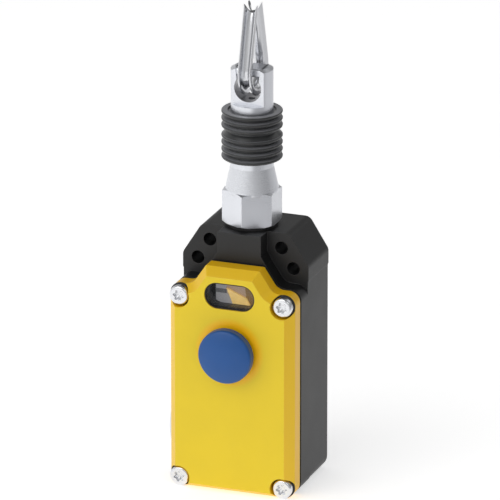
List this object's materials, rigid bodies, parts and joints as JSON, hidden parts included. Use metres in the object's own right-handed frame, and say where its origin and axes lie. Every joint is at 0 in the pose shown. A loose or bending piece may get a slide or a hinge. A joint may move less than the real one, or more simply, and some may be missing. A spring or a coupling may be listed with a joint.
{
  "type": "rope pull switch",
  "caption": "Cable-operated safety switch: dark cast housing, yellow cover with window and blue reset button, hexagonal neck, ribbed bellows, rope eye and open thimble.",
  "frame": {"origin": "midway between the two lower mounting holes, in the rear mounting face", "axes": "+Z along the pull direction, -Y out of the yellow cover, +X to the right seen from the cover"},
  "size_m": [0.0568, 0.0504, 0.198],
  "materials": {
    "housing_paint": "dark grey powder coat on die-cast metal",
    "cover_paint": "signal yellow powder coat",
    "black_rubber": "matte black",
    "bellows_rubber": "satin dark grey",
    "zinc_steel": "bright zinc plate",
    "bright_steel": "turned stainless",
    "spring_steel": "drawn wire",
    "satin_metal": "satin turned",
    "bright_sheet": "bright pressed sheet",
    "bronze": "sintered bronze",
    "brass_plate": "plated brass",
    "clear_lens": "clear",
    "black_plastic": "matte black",
    "grey_plastic": "matte grey",
    "white_plastic": "natural white acetal",
    "red_plastic": "red",
    "contact_plastic": "light grey moulded",
    "amber_plastic": "amber, translucent",
    "blue_plastic": "signal blue, satin"
  },
  "bodies": {
    "enclosure": {"housing": "housing_paint", "cover": "cover_paint", "cover_gasket": "black_rubber", "cover_screws": "zinc_steel", "cover_screw_washers": "black_rubber", "window_lens": "clear_lens", "window_seal": "black_rubber", "window_bezel": "black_plastic", "bezel_screws": "zinc_steel", "indicator_dial": "grey_plastic", "reset_guide": "black_plastic", "reset_seal": "black_rubber", "reset_nut": "zinc_steel", "reset_spring": "spring_steel", "latch_bracket": "zinc_steel", "latch_pin": "bright_steel", "latch_spring": "spring_steel", "neck_nut": "satin_metal", "neck_seal": "black_rubber", "guide_bushes": "bronze", "rod_seal": "black_rubber", "spring_seat": "zinc_steel", "main_spring": "spring_steel", "lower_guide": "black_plastic", "guide_screws": "zinc_steel", "contact_block_left": "contact_plastic", "contact_block_right": "contact_plastic", "block_screws": "zinc_steel", "terminal_clamps": "brass_plate", "terminal_screws": "zinc_steel", "earth_terminal": "brass_plate", "bellows": "bellows_rubber", "blanking_plug": "satin_metal", "plug_seal": "black_rubber"},
    "pull_rod_assembly": {"pull_rod": "bright_steel", "rope_eye": "satin_metal", "lock_nut": "zinc_steel", "spring_collar": "zinc_steel", "spacer_tube": "bright_steel", "latch_ring": "bright_steel", "cam_sleeve": "white_plastic", "rod_circlip": "spring_steel", "indicator_link": "zinc_steel"},
    "rope_thimble": {"thimble": "bright_sheet"},
    "reset_button": {"reset_cap": "blue_plastic", "reset_stem": "bright_steel", "reset_clip": "spring_steel"},
    "latch": {"latch_lever": "bright_steel"},
    "pointer": {"indicator_pointer": "amber_plastic"},
    "left_plunger": {"plunger_left": "red_plastic"},
    "right_plunger": {"plunger_right": "red_plastic"}
  },
  "joints": [
    {"name": "rod_slide", "type": "slide", "parent": "enclosure", "child": "pull_rod_assembly", "axis": [0, 0, 1], "range_m": [0, 0.008], "stiffness_N_per_m": 8000, "springref_m": -0.004, "deforming": ["main_spring", "bellows"]},
    {"name": "thimble_swing", "type": "hinge", "parent": "pull_rod_assembly", "child": "rope_thimble", "pos_m": [0, -0.0154, 0.0776], "axis": [1, 0, 0], "range_deg": [-60, 60]},
    {"name": "reset_push", "type": "slide", "parent": "enclosure", "child": "reset_button", "axis": [0, 1, 0], "range_m": [0, 0.0018], "stiffness_N_per_m": 1500, "springref_m": -0.002, "deforming": ["reset_spring"]},
    {"name": "latch_swing", "type": "hinge", "parent": "enclosure", "child": "latch", "pos_m": [0, -0.027, -0.0384], "axis": [1, 0, 0], "range_deg": [-16.6, 0], "deforming": ["latch_spring"]},
    {"name": "pointer_turn", "type": "hinge", "parent": "enclosure", "child": "pointer", "pos_m": [0.0046, -0.0342, -0.016], "axis": [0, 1, 0], "range_deg": [0, 57.5]},
    {"name": "left_plunger_slide", "type": "slide", "parent": "enclosure", "child": "left_plunger", "axis": [-1, 0, 0], "range_m": [0, 0.0015]},
    {"name": "right_plunger_slide", "type": "slide", "parent": "enclosure", "child": "right_plunger", "axis": [1, 0, 0], "range_m": [0, 0.0015]}
  ],
  "couplings": [
    {"joint": "pointer_turn", "follows": "rod_slide", "rad_per_m": 125},
    {"joint": "left_plunger_slide", "follows": "rod_slide", "ratio": 0.1875},
    {"joint": "right_plunger_slide", "follows": "rod_slide", "ratio": 0.1875},
    {"joint": "latch_swing", "follows": "reset_push", "rad_per_m": -158.73}
  ]
}
